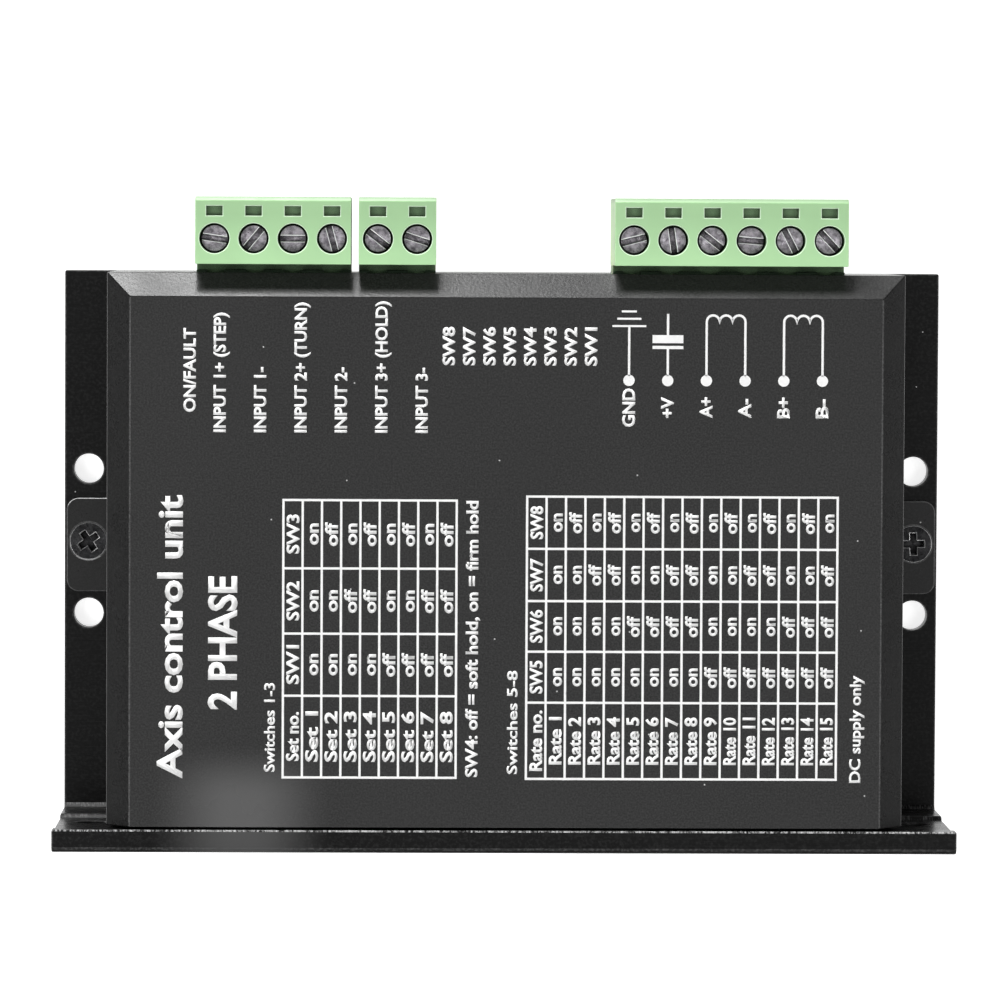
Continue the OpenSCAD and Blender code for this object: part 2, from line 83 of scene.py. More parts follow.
# A painted reflection, a lighter patch on the cover and the wall's rim. Across, it is full up to CORE
# from its middle and gone at REACH. It grows from FROM to TO along Y, and from LOW to HIGH along Z
REFLECTION_X = 34.3 * MM
REFLECTION_CORE, REFLECTION_REACH = 1.2 * MM, 12.4 * MM
REFLECTION_FROM, REFLECTION_TO = 24.5 * MM, 32 * MM
REFLECTION_LOW, REFLECTION_HIGH = 30 * MM, 32.5 * MM

# Painted shade: the cover's ears are darker than the rest, and the feet of its walls fade into that up to TO
FOOT_SHADE_FROM, FOOT_SHADE_TO = 5.5 * MM, 15 * MM
FOOT_SHADE_SHARE = 0.6

# The plugs' plastic along Y, and how bright it is there: paler towards the cover (painted light), duller on
# the outer lip and darker on the nose that sits in the header (painted shade). Flow marks are a shade darker
# everywhere
PLUG_FACE_BACK = COVER_LOW.y - 1.1 * MM
PAINTED_LIGHT_FROM, PAINTED_LIGHT_TO = PLUG_LOW.y + 2.2 * MM, PLUG_FACE_BACK
LIP_SHADE_FROM, LIP_SHADE_TO = PLUG_LOW.y + 0.1 * MM, PLUG_LOW.y + 0.7 * MM
NOSE_SHADE_FROM, NOSE_SHADE_TO = PLUG_FACE_BACK, PLUG_FACE_BACK + 0.05 * MM
PAINTED_LIGHT, LIP_SHADE, NOSE_SHADE, FLOW_MARK = 1.28, 0.55, 0.4, 0.93

# Brightness of the painted reflection on the wall's rim and its strength, and pitch of the lathe rings on
# screw heads
SINK_REFLECTION, SINK_REFLECTION_SHARE = 0.085, 0.85
RING_PITCH = 0.16 * MM
# Depth of fine surface detail
FINE = 0.006 * MM

# Gaps narrower than the first number get painted shade: darkest where the open share of the sky is the
# second number or less, and not at all from the third on
PLUG_GAP = (6 * MM, 0.05, 0.4)
SCREW_GAP = (2 * MM, 0.2, 0.45)

# Share of a noise's range over which one look turns into another
EVEN = (0.3, 0.7)
PATCHY = (0.35, 0.7)

# A face looks up if its normal's Z is over this. Dust lies only there
NEARLY_UP = 0.9
# Dust: cells per metre, radius of a grain, and share of the cells that hold one. Then its brightness
COVER_DUST = (105, 0.10 * MM, 0.35)
SINK_DUST = (105, 0.09 * MM, 0.3)
COVER_DUST_GREY, SINK_DUST_GREY = 0.55, 0.5


# ---------------------------------------------------------------- materials

class Recipe:
    """A Principled material that is built up from procedural layers."""

    def __init__(self, name, roughness=0.5, metallic=0.0):
        self.material = bpy.data.materials.new(name)
        self.material.use_nodes = True
        self.tree = self.material.node_tree
        self.shader = self.tree.nodes["Principled BSDF"]
        self.shader.inputs["Roughness"].default_value = roughness
        self.shader.inputs["Metallic"].default_value = metallic
        self.place = self.tree.nodes.new("ShaderNodeTexCoord").outputs["Object"]

    def set(self, **values):
        """Sets the shader's own sockets, whose spaces are written as underscores."""
        for name, value in values.items():
            self.shader.inputs[name.replace("_", " ")].default_value = value

    def node(self, kind, **settings):
        made = self.tree.nodes.new(kind)
        for name, value in settings.items():
            setattr(made, name, value)
        return made

    def feed(self, socket, value):
        """Links a socket to another, or gives it a plain value."""
        if isinstance(value, bpy.types.NodeSocket):
            self.tree.links.new(value, socket)
        else:
            socket.default_value = value

    def stretched(self, scale):
        mapping = self.node("ShaderNodeMapping")
        self.feed(mapping.inputs["Vector"], self.place)
        mapping.inputs["Scale"].default_value = scale
        return mapping.outputs["Vector"]

    def noise(self, scale, detail=3.0, rough=0.55, stretch=(1, 1, 1)):
        """Noise with scale grains per metre, drawn out along an axis whose stretch is under 1."""
        made = self.node("ShaderNodeTexNoise")
        self.feed(made.inputs["Vector"], self.stretched(stretch))
        made.inputs["Scale"].default_value = scale
        made.inputs["Detail"].default_value = detail
        made.inputs["Roughness"].default_value = rough
        return made.outputs["Fac"]

    def math(self, operation, a, b=0.0):
        made = self.node("ShaderNodeMath", operation=operation)
        self.feed(made.inputs[0], a)
        self.feed(made.inputs[1], b)
        return made.outputs[0]

    def times(self, a, b):
        return self.math("MULTIPLY", a, b)

    def spread(self, value, low, high, to_low=0.0, to_high=1.0, ease="LINEAR"):
        """Turns low..high into to_low..to_high, and stays at its ends beyond."""
        made = self.node("ShaderNodeMapRange", interpolation_type=ease)
        ends = {"From Min": low, "From Max": high, "To Min": to_low, "To Max": to_high}
        for name, number in ends.items():
            made.inputs[name].default_value = number
        self.feed(made.inputs["Value"], value)
        return made.outputs["Result"]

    def blend(self, factor, first, second):
        made = self.node("ShaderNodeMix", data_type="RGBA")
        self.feed(made.inputs["Factor"], factor)
        self.feed(made.inputs["A"], colour(first))
        self.feed(made.inputs["B"], colour(second))
        return made.outputs["Result"]

    def facing_up(self):
        """1 on faces that look up, else 0."""
        geometry = self.node("ShaderNodeNewGeometry")
        split = self.node("ShaderNodeSeparateXYZ")
        self.feed(split.inputs[0], geometry.outputs["Normal"])
        return self.math("GREATER_THAN", split.outputs["Z"], NEARLY_UP)

    def specks(self, scale, radius, share):
        """1 inside small round dust grains, on a share of the cells."""
        cells = self.node("ShaderNodeTexVoronoi", voronoi_dimensions="2D")
        self.feed(cells.inputs["Vector"], self.stretched((1, 1, 1)))
        cells.inputs["Scale"].default_value = scale
        near = self.math("LESS_THAN", cells.outputs["Distance"], radius * scale)
        channels = self.node("ShaderNodeSeparateColor")
        self.feed(channels.inputs[0], cells.outputs["Color"])
        some = self.math("LESS_THAN", channels.outputs[0], share)
        return self.times(self.times(near, some), self.facing_up())

    def along(self, axis):
        split = self.node("ShaderNodeSeparateXYZ")
        self.feed(split.inputs[0], self.place)
        return split.outputs[axis]

    def scaled(self, value, factor):
        made = self.node("ShaderNodeVectorMath", operation="SCALE")
        self.feed(made.inputs[0], value if isinstance(value, bpy.types.NodeSocket) else value[:3])
        self.feed(made.inputs["Scale"], factor)
        return made.outputs[0]

    def openness(self, reach, low, high, darkest):
        """1 on open surfaces, falling to darkest in narrow gaps, as PLUG_GAP and SCREW_GAP say: the factor
        for painted shade.
        """
        made = self.node("ShaderNodeAmbientOcclusion", samples=8)
        made.inputs["Distance"].default_value = reach
        return self.spread(made.outputs["AO"], low, high, darkest, 1.0)

    def painted_reflection(self):
        """1 in the middle of the painted reflection, a lighter patch that starts on the cover and runs on
        over the wall's rim.
        """
        off = self.math("ABSOLUTE", self.math("SUBTRACT", self.along("X"), REFLECTION_X))
        across = self.spread(off, REFLECTION_CORE, REFLECTION_REACH, 1.0, 0.0, "SMOOTHSTEP")
        down = self.spread(self.along("Y"), REFLECTION_FROM, REFLECTION_TO, ease="SMOOTHSTEP")
        up = self.spread(self.along("Z"), REFLECTION_LOW, REFLECTION_HIGH)
        return self.times(self.times(across, down), up)

    def tint(self, value):
        self.feed(self.shader.inputs["Base Color"], colour(value))
        return self

    def dull(self, value):
        self.feed(self.shader.inputs["Roughness"], value)
        return self

    def uneven(self, scale, detail, low, high):
        """Roughness that wanders between low and high."""
        return self.dull(self.spread(self.noise(scale, detail), *EVEN, low, high))

    def bump(self, *layers):
        """Stacks (height, depth in metres) layers into one normal."""
        normal = None
        for height, depth in layers:
            made = self.node("ShaderNodeBump")
            made.inputs["Distance"].default_value = depth
            self.feed(made.inputs["Height"], height)
            if normal is not None:
                self.feed(made.inputs["Normal"], normal)
            normal = made.outputs["Normal"]
        self.feed(self.shader.inputs["Normal"], normal)
        return self


def colour(value):
    """A grey level or a colour of three as a colour of four. A socket stays as it is."""
    if isinstance(value, (int, float)):
        return (value, value, value, 1.0)
    if isinstance(value, tuple) and len(value) == 3:
        return value + (1.0,)
    return value


def black_coat(name, dark, light, roughness):
    """Matte black coat: fine grain, faint clouding, a painted reflection near the wall, painted shade low
    down and a few dust grains.
    """
    # The second tone is that of the painted reflection, the third that of the painted shade low down
    speckle, reflection_tone, foot = light * 2.3, light * 5.4, dark * 0.4
    r = Recipe(name)
    cloud = r.noise(45, 4)
    grain = r.noise(2600, 2)
    dust = r.specks(*COVER_DUST)
    coat = r.blend(r.spread(cloud, *EVEN), dark, light)
    speckled = r.blend(r.spread(r.noise(4200, 1), 0.35, 0.75, 0, 0.8), coat, speckle)
    # Painted reflection: a lighter patch near the wall
    reflected = r.blend(r.painted_reflection(), speckled, reflection_tone)
    # Painted shade: darker low down, on the ears and the feet of the walls
    low = r.spread(r.along("Z"), FOOT_SHADE_FROM, FOOT_SHADE_TO, FOOT_SHADE_SHARE, 0.0, "SMOOTHSTEP")
    r.tint(r.blend(dust, r.blend(low, reflected, foot), COVER_DUST_GREY))
    r.uneven(160, 3, roughness - 0.04, roughness + 0.05)
    r.set(Specular_IOR_Level=0.22)
    return r.bump((grain, 0.015 * MM), (r.noise(420, 2), FINE)).material


def anodised(name, dark, light, roughness):
    """Black anodised extrusion, with die lines along X, the painted reflection and a few dust grains."""
    streak, grain = light * 1.6, light * 3
    r = Recipe(name)
    lines = r.noise(900, 3, stretch=(0.02, 1, 1))
    dust = r.specks(*SINK_DUST)
    base = r.blend(r.spread(r.noise(60, 4), *PATCHY), dark, light)
    streaked = r.blend(r.spread(lines, 0.45, 0.8, 0, 0.5), base, streak)
    grainy = r.blend(r.spread(r.noise(2600, 2), 0.45, 0.75), streaked, grain)
    # Painted reflection on the wall's rim
    reflected = r.blend(r.times(r.painted_reflection(), SINK_REFLECTION_SHARE), grainy, SINK_REFLECTION)
    r.tint(r.blend(dust, reflected, SINK_DUST_GREY))
    r.dull(r.spread(lines, *EVEN, roughness, roughness + 0.12))
    r.set(Specular_IOR_Level=0.1)
    return r.bump((lines, FINE), (r.noise(2400, 2), 0.005 * MM)).material


def worn_rim(name, dark, bright, share):
    """An edge whose black anodising is rubbed through in short dashes, on about a share of its length."""
    r = Recipe(name, roughness=0.4)
    dashes = r.noise(4200, 2, 0.6, stretch=(1, 0.3, 0.3))
    patches = r.spread(r.noise(90, 2, stretch=(1, 0.1, 0.1)), *EVEN, share - 0.06, share + 0.06)
    rubbed = r.math("ADD", dashes, r.math("SUBTRACT", patches, 0.5))
    r.set(Specular_IOR_Level=0.08)
    return r.tint(r.blend(r.spread(rubbed, 0.4, 0.66), dark, bright)).material


def moulded(name, base, shade, roughness):
    """Moulded plastic: slight flow marks and fine spark-eroded grain."""
    r = Recipe(name)
    flow = r.noise(120, 3, stretch=(1, 1, 0.4))
    r.tint(r.blend(r.spread(flow, *PATCHY), base, shade))
    r.uneven(300, 2, roughness - 0.05, roughness + 0.06)
    return r.bump((r.noise(3000, 2), FINE)).material


def plug_plastic(name, base, darkest=0.02):
    """Plug plastic, lighter towards the cover as painted light, darker on its outer lip and nose and nearly
    black in narrow gaps as painted shade.
    """
    r = Recipe(name)
    flow = r.spread(r.noise(120, 3, stretch=(1, 1, 0.4)), *PATCHY, 1.0, FLOW_MARK)
    # Painted light towards the cover, painted shade on the outer lip and on the nose
    painted_light = r.spread(r.along("Y"), PAINTED_LIGHT_FROM, PAINTED_LIGHT_TO, 1.0, PAINTED_LIGHT)
    lip_shade = r.spread(r.along("Y"), LIP_SHADE_FROM, LIP_SHADE_TO, LIP_SHADE, 1.0)
    light = r.times(r.times(flow, painted_light), lip_shade)
    nose_shade = r.spread(r.along("Y"), NOSE_SHADE_FROM, NOSE_SHADE_TO, 1.0, NOSE_SHADE)
    # Painted shade in narrow gaps, on the colour and on the specular
    open_share = r.times(r.openness(*PLUG_GAP, darkest), nose_shade)
    r.tint(r.scaled(base, r.times(light, open_share)))
    r.feed(r.shader.inputs["Specular IOR Level"], r.times(open_share, 0.5))
    r.uneven(300, 2, 0.37, 0.48)
    return r.bump((r.noise(3000, 2), FINE)).material


def turned_metal(name, base, shade, roughness, axis):
    """Plated screw head: lathe rings round its own axis, blotchy plating, small dents, and painted shade in
    its slot and narrow gaps.

    The axis is (x, y). Screws on both sides of the module share one axis by symmetry.
    """
    r = Recipe(name, metallic=1.0)
    side = r.math("SUBTRACT", r.math("ABSOLUTE", r.along("X")), abs(axis[0]))
    ahead = r.math("SUBTRACT", r.along("Y"), axis[1])
    reach = r.math("SQRT", r.math("ADD", r.times(side, side), r.times(ahead, ahead)))
    rings = r.math("SINE", r.times(reach, 2 * math.pi / RING_PITCH))
    blotch = r.noise(1300, 4, 0.65)
    plating = r.blend(r.spread(blotch, 0.38, 0.62), base, shade)
    # Painted shade in the slot and round the head
    r.tint(r.scaled(plating, r.openness(*SCREW_GAP, 0.03)))
    r.uneven(2600, 3, roughness - 0.1, roughness + 0.15)
    return r.bump((rings, FINE), (r.noise(3500, 4), 0.03 * MM)).material


def sheet_metal(name, base, shade, roughness, metallic=1.0):
    """Plated or turned metal: fine grain and light staining."""
    r = Recipe(name, metallic=metallic)
    r.tint(r.blend(r.spread(r.noise(180, 4), *PATCHY), base, shade))
    r.uneven(500, 3, roughness - 0.08, roughness + 0.1)
    return r.bump((r.noise(900, 3, stretch=(0.2, 1, 1)), 0.008 * MM)).material


def printed_ink(name):
    """White screen print with slightly uneven cover."""
    r = Recipe(name, roughness=0.55)
    r.tint(r.blend(r.spread(r.noise(900, 3), 0.3, 0.75), (0.96, 0.96, 0.95), (0.86, 0.86, 0.86)))
    return r.bump((r.noise(2500, 2), 0.004 * MM)).material


def board_laminate(name):
    """Green solder mask, raised and a little lighter in a pattern of etched tracks."""
    r = Recipe(name, roughness=0.35)
    tracks = r.node("ShaderNodeTexBrick")
    r.feed(tracks.inputs["Vector"], r.stretched((1, 1, 1)))
    layout = {"Scale": 160, "Mortar Size": 0.06, "Brick Width": 1.4, "Row Height": 0.35}
    for key, number in layout.items():
        tracks.inputs[key].default_value = number
    lines = r.spread(tracks.outputs["Fac"], 0, 1)
    r.tint(r.blend(lines, (0.02, 0.12, 0.05), (0.05, 0.2, 0.08)))
    return r.bump((lines, 0.02 * MM)).material


def tinted_lens(name, base):
    """Tinted lens of an indicator light, which lets some light through and scatters it."""
    r = Recipe(name)
    r.set(Transmission_Weight=0.35, IOR=1.5, Subsurface_Weight=0.2, Subsurface_Scale=0.5 * MM)
    r.tint(r.blend(r.spread(r.noise(700, 2), *EVEN), base, tuple(c * 0.75 for c in base)))
    return r.uneven(400, 2, 0.16, 0.26).material


COVER_COAT = black_coat("cover_coat", 0.014, 0.018, 0.27)
# A darker copy of the coat for the cover's sides: painted shade
COVER_SIDE_SHADED = black_coat("cover_side_shaded", 0.006, 0.011, 0.27)
# Lighter copies of the coat for rounded edges: painted highlights, brightest on the front edges of the ear
# at +X
COVER_FOLD_HIGHLIGHT = black_coat("cover_fold_highlight", 0.03, 0.055, 0.4)
EAR_EDGE_HIGHLIGHT = black_coat("ear_edge_highlight", 0.07, 0.13, 0.4)
EAR_FRONT_HIGHLIGHT = black_coat("ear_front_edge_highlight", 0.5, 0.7, 0.4)
ANODISED = anodised("anodised_black", 0.003, 0.005, 0.2)
# A lighter copy of the anodising for rounded edges: painted highlight
ANODISED_EDGE_HIGHLIGHT = anodised("anodised_edge_highlight", 0.012, 0.025, 0.3)
RIM_WORN = worn_rim("worn_rim", 0.02, 0.5, 0.5)
FOOT_WORN = worn_rim("worn_foot", 0.005, 0.13, 0.42)
OXIDE = turned_metal("black_oxide", (0.016, 0.016, 0.017), (0.035, 0.035, 0.036), 0.3,
                     (0.5 * HOLE_PITCH_X, 0))
# Bright rounding on the cover screws: painted highlight
OXIDE_RIM_HIGHLIGHT = sheet_metal("black_oxide_rim_highlight", (0.3, 0.3, 0.3), (0.7, 0.7, 0.7), 0.3)
GREEN = plug_plastic("plug_green", (0.37, 0.61, 0.32))
# Lighter copies of the plug plastic: painted highlights on its rounded edges and round its holes
GREEN_EDGE_HIGHLIGHT = plug_plastic("plug_green_edge_highlight", (0.42, 0.69, 0.36))
GREEN_RIM_HIGHLIGHT = plug_plastic("plug_green_rim_highlight", (0.66, 0.86, 0.62), 0.6)
# The headers' green darkened to near black: painted shade
HEADER_GREEN_SHADED = plug_plastic("header_green", (0.05, 0.1, 0.05))
# Near-white slot edges on the terminal screws: painted highlight
ZINC_SLOT_HIGHLIGHT = sheet_metal("zinc_slot_highlight", (0.95, 0.95, 0.96), (0.8, 0.8, 0.82), 0.3, metallic=0.2)
ZINC_PLAIN = sheet_metal("zinc_plain", (0.55, 0.55, 0.58), (0.45, 0.44, 0.46), 0.35)
TIN = sheet_metal("tin_plate", (0.72, 0.7, 0.66), (0.6, 0.58, 0.54), 0.3)
BRASS = sheet_metal("brass", (0.7, 0.52, 0.22), (0.6, 0.43, 0.18), 0.3)
RED = moulded("switch_red", (0.5, 0.03, 0.025), (0.42, 0.025, 0.02), 0.4)
WHITE = moulded("slider_white", (0.78, 0.78, 0.74), (0.7, 0.7, 0.66), 0.4)
BLACK = moulded("holder_black", (0.02, 0.02, 0.02), (0.03, 0.03, 0.03), 0.5)
EPOXY = moulded("chip_black", (0.018, 0.018, 0.019), (0.026, 0.026, 0.027), 0.6)
SLEEVE = moulded("capacitor_sleeve", (0.02, 0.03, 0.1), (0.03, 0.04, 0.13), 0.3)
PAD = moulded("silicone_pad", (0.3, 0.34, 0.38), (0.36, 0.4, 0.43), 0.7)
LAMINATE = board_laminate("green_laminate")
LENS_GREEN = tinted_lens("lens_green", (0.1, 0.6, 0.22))
LENS_RED = tinted_lens("lens_red", (0.65, 0.05, 0.04))
INK = printed_ink("legend_ink")


# ---------------------------------------------------------------- rounded shells

# Edges shorter than this are closed up, and a cut takes points that are this near
WELD = 0.04 * MM
TOUCH = 0.001 * MM
# Faces at less than this angle are one flat, edges over this are rounded, and edges over this shade sharp
FLAT = math.radians(0.6)
SHARP = math.radians(32)
SMOOTH = math.radians(38)
# Width of the rounding, and for screws the length of edge to close up
SINK_ROUND = 0.22 * MM
COVER_ROUND = 0.13 * MM
BLOCK_ROUND = 0.12 * MM
SMALL_ROUND = 0.1 * MM
SCREW_ROUND, SCREW_WELD = 0.11 * MM, 0.09 * MM
COVER_SCREW_ROUND, COVER_SCREW_WELD = 0.06 * MM, 0.06 * MM


def finish_mesh(piece):
    """Smooth shading that breaks only at sharp edges, with normals weighted to the flats."""
    for face in piece.data.polygons:
        face.use_smooth = True
    piece.data.set_sharp_from_angle(angle=SMOOTH)
    weighted = piece.modifiers.new("weighted_normals", "WEIGHTED_NORMAL")
    weighted.keep_sharp = True


def rounded(node, materials, width, segments=2, weld=WELD, cuts=(), keep=None):
    """A copy of a CAD node with its outer edges rounded. It stands for the node.

    Edges shorter than weld are closed up first. Each cut is a point and a direction: a plane through
    holes, so that no flat face has to run all the way round one. Edges that keep() picks stay sharp.
    The rounding takes the last material.
    """
    bm = bmesh.new()
    bm.from_mesh(NODES[node].data)
    for face in bm.faces:
        face.material_index = 0
    bmesh.ops.remove_doubles(bm, verts=bm.verts, dist=weld)
    for spot, across in cuts:
        made = bmesh.ops.bisect_plane(bm, geom=bm.verts[:] + bm.edges[:] + bm.faces[:], dist=TOUCH,
                                      plane_co=spot, plane_no=across)
        for part in made["geom_cut"]:
            if isinstance(part, bmesh.types.BMEdge):
                part.seam = True
    bmesh.ops.dissolve_limit(bm, angle_limit=FLAT, verts=bm.verts, edges=bm.edges, delimit={"SEAM"})
    outer = [e for e in bm.edges if len(e.link_faces) == 2 and e.is_convex and e.calc_face_angle() > SHARP]
    if keep:
        outer = [e for e in outer if not keep(e)]
    bmesh.ops.bevel(bm, geom=outer, offset=width, offset_type="OFFSET", segments=segments, profile=0.5,
                    affect="EDGES", clamp_overlap=False, material=len(materials) - 1)
    mesh = bpy.data.meshes.new(node + "_shell")
    bm.to_mesh(mesh)
    bm.free()
    if "custom_normal" in mesh.attributes:
        mesh.attributes.remove(mesh.attributes["custom_normal"])
    for material in materials:
        mesh.materials.append(material)
    piece = bpy.data.objects.new(node + "_shell", mesh)
    bpy.context.scene.collection.objects.link(piece)
    finish_mesh(piece)
    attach(piece, NODES[node]["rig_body"])
    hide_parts(node)
    return piece


def paint(node, material):
    """Gives a CAD node that keeps its own mesh a finished material."""
    for place in NODES[node].material_slots:
        place.material = material


def pole_cuts(node):
    """Planes through the middle of every pole of a plug or header."""
    low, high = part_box(node)
    count = round((high.x - low.x) / POLE)
    middle = (low.x + high.x) / 2
    return [((middle + (k - (count - 1) / 2) * POLE, 0, 0), (1, 0, 0)) for k in range(count)]


def heatsink_shell():
    """The heatsink, with the rim's inner edge and the slopes at the wall's foot rubbed bright, and painted
    highlights on its other rounded edges.
    """
    plain, rim, foot, edge = range(4)
    looks = {plain: ANODISED, rim: RIM_WORN, foot: FOOT_WORN, edge: ANODISED_EDGE_HIGHLIGHT}
    piece = rounded("heatsink", list(looks.values()), SINK_ROUND)
    rim_y = SINK_HIGH.y - WALL_T
    near = 0.4 * MM
    steep = 0.4
    for face in piece.data.polygons:
        near_rim = abs(face.center.y - rim_y) < near and face.center.z > SINK_HIGH.z - near
        sloping = face.normal.y < -steep and face.normal.z > steep and face.center.z < SINK_HIGH.z / 2
        if near_rim and face.material_index == edge:
            face.material_index = rim
        elif sloping and face.center.y > 0:
            face.material_index = foot


def cover_shell():
    """The cover, with a darker copy of its coat on its sides as painted shade, and painted highlights on the
    rounding of its two side folds and its ears, brightest on the front edges of the ear at +X.
    """
    flat, side, ear_edge_highlight, ear_front_highlight, fold = range(5)
    looks = {flat: COVER_COAT, side: COVER_SIDE_SHADED, ear_edge_highlight: EAR_EDGE_HIGHLIGHT, ear_front_highlight: EAR_FRONT_HIGHLIGHT, fold: COVER_FOLD_HIGHLIGHT}
    piece = rounded("cover", list(looks.values()), COVER_ROUND, segments=3)
    ears_below = 6 * MM
    top_above = TOP_Z - 0.3 * MM
    fold_from, fold_to = COVER_LOW.y + 4 * MM, COVER_HIGH.y - 1 * MM
    leaning = 0.3
    for face in piece.data.polygons:
        x, y, z = face.center
        folded = face.material_index == fold
        # Ear edges: painted highlight, brightest on the front edges of the ear at +X
        if z < ears_below and folded:
            face.material_index = ear_front_highlight if x > 0 and face.normal.y < -leaning else ear_edge_highlight
        elif z < ears_below:
            face.material_index = flat
        # The two side folds on top keep their painted highlight
        elif folded and z > top_above and fold_from < y < fold_to:
            continue
        else:
            # Sides take the darker copy of the coat: painted shade
            face.material_index = side if abs(face.normal.x) > leaning else flat


def plug_shell(plug):
    """A plug, with a pale painted highlight round every hole in its top face and a lighter one on its other
    rounded edges.
    """
    low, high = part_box(plug)
    plain, rim, edge_highlight = range(3)
    looks = {plain: GREEN, rim: GREEN_RIM_HIGHLIGHT, edge_highlight: GREEN_EDGE_HIGHLIGHT}
    face_y = low.y + 0.05 * MM
    side_gap = 0.1 * MM
    end_gap = 0.6 * MM
    margin = 0.3 * MM

    def wire_entry(edge):
        """The rim of a wire entry, too near the plug's end wall to round."""
        return all(v.co.y < face_y and low.x + side_gap < v.co.x < high.x - side_gap
                   and low.z + end_gap < v.co.z < high.z - end_gap for v in edge.verts)

    piece = rounded(plug, list(looks.values()), BLOCK_ROUND,
                    cuts=pole_cuts(plug), keep=wire_entry)
    for face in piece.data.polygons:
        x, y, z = face.center
        inside = low.x + margin < x < high.x - margin and LIP_SHADE_TO < y < PLUG_FACE_BACK - margin
        # Rims round the holes in the top face take the pale painted highlight
        if face.material_index == edge_highlight and inside and z > high.z - margin:
            face.material_index = rim


def screw_shell(node, zinc):
    """A terminal screw, with a painted highlight on its slot edges."""
    plated, slot_highlight = range(2)
    looks = {plated: zinc, slot_highlight: ZINC_SLOT_HIGHLIGHT}
    piece = rounded(node, list(looks.values()), SCREW_ROUND, weld=SCREW_WELD)
    low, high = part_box(node)
    middle = (low + high) / 2
    slot_reach = (high.x - low.x) / 2 - 0.1 * MM
    head_z = high.z - 0.5 * MM
    for face in piece.data.polygons:
        out = (face.center - middle).to_2d().length
        if out > slot_reach or face.center.z < head_z:
            face.material_index = plated


heatsink_shell()
cover_shell()
through_both = ((0, 0, 0), (0, 1, 0))
through_each = [((side * HOLE_PITCH_X / 2, 0, 0), (1, 0, 0)) for side in (-1, 1)]
rounded("cover_screws", [OXIDE, OXIDE_RIM_HIGHLIGHT], COVER_SCREW_ROUND,
        weld=COVER_SCREW_WELD, cuts=[through_both] + through_each)
for plug in PLUGS:
    plug_shell(plug)
for header in HEADERS:
    rounded(header, [HEADER_GREEN_SHADED], SMALL_ROUND, cuts=pole_cuts(header))
for i in range(1, POLE_COUNT + 1):
    low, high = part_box(f"terminal_screw_{i}")
    zinc = turned_metal(f"zinc_plate_{i}", (0.37, 0.35, 0.38), (0.12, 0.11, 0.125), 0.34,
                        ((low.x + high.x) / 2, (low.y + high.y) / 2))
    screw_shell(f"terminal_screw_{i}", zinc)
    paint(f"wire_clamp_{i}", TIN)
rounded("dip_switch_body", [RED], BLOCK_ROUND)
for i in range(1, SWITCH_COUNT + 1):
    rounded(f"dip_slider_{i}", [WHITE], SMALL_ROUND)

for node, material in {
    "circuit_board": LAMINATE, "board_standoffs": BRASS, "pan_head_screws": ZINC_PLAIN,
    "header_pins": TIN, "led_holder": BLACK, "power_led": LENS_GREEN, "alarm_led": LENS_RED,
    "bulk_capacitors": SLEEVE, "power_transistors": EPOXY, "transistor_clamp_bar": ZINC_PLAIN,
    "thermal_pad": PAD, "controller_chip": EPOXY, "optocouplers": EPOXY, "sense_resistors": EPOXY,
    "signal_contacts": TIN, "enable_contacts": TIN, "power_contacts": TIN,
}.items():
    paint(node, material)


# ---------------------------------------------------------------- printed legend

# The legend is read along -Y, and its lines follow one another along -X
INK_T = 0.03 * MM
INK_Z = TOP_Z - 0.005 * MM
LINE_W = 0.3 * MM
# Corners of the flat print that are this near are one corner
SAME_PLACE = 0.0002 * MM
# A line's corners reach out at most 1 / this times half its width
SHARPEST_MITRE = 0.4
# Height of a capital in the built-in font at size 1
CAP_SHARE = 0.69
# How far the strokes are thickened at size 1
THIN, LIGHT, BOLD, HEAVY = 0.022, 0.024, 0.03, 0.032


def letters(bm, words, start_y, base_x, cap, length=None, bold=BOLD):
    """Adds a line of print that starts at start_y, on a baseline at base_x.

    Its capitals are cap high. Without a length, it is as long as the font makes it.
    """
    curve = bpy.data.curves.new("letters", "FONT")
    curve.body = words
    curve.size = 1.0
    curve.offset = bold
    curve.resolution_u = 3
    carrier = bpy.data.objects.new("letters", curve)
    mesh = bpy.data.meshes.new_from_object(carrier)
    bpy.data.objects.remove(carrier)
    bpy.data.curves.remove(curve)
    low = min(v.co.x for v in mesh.vertices)
    high = max(v.co.x for v in mesh.vertices)
    tall = cap / CAP_SHARE
    wide = length / (high - low) if length else tall
    for v in mesh.vertices:
        along, up = (v.co.x - low) * wide, v.co.y * tall
        v.co = (base_x + up, start_y - along, 0)
    bm.from_mesh(mesh)
    bpy.data.meshes.remove(mesh)


def raised(bm):
    """Turns flat print into closed solids of the ink's thickness."""
    bmesh.ops.remove_doubles(bm, verts=bm.verts, dist=SAME_PLACE)
    bmesh.ops.recalc_face_normals(bm, faces=bm.faces)
    for face in bm.faces:
        if face.normal.z < 0:
            face.normal_flip()
    for v in bm.verts:
        v.co.z = INK_Z
    made = bmesh.ops.extrude_face_region(bm, geom=bm.faces[:])
    top = [g for g in made["geom"] if isinstance(g, bmesh.types.BMVert)]
    bmesh.ops.translate(bm, verts=top, vec=(0, 0, INK_T))
    bmesh.ops.recalc_face_normals(bm, faces=bm.faces)


def print_piece(name, bm):
    """One piece of print, which rides on the module."""
    raised(bm)
    mesh = bpy.data.meshes.new(name)
    bm.to_mesh(mesh)
    bm.free()
    mesh.materials.append(INK)
    piece = bpy.data.objects.new(name, mesh)
    bpy.context.scene.collection.objects.link(piece)
    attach(piece, ROOT)


def flat_quad(bm, x0, y0, x1, y1):
    """A flat rectangle between two opposite corners."""
    corners = [(x0, y0), (x1, y0), (x1, y1), (x0, y1)]
    bm.faces.new([bm.verts.new((x, y, 0)) for x, y in corners])


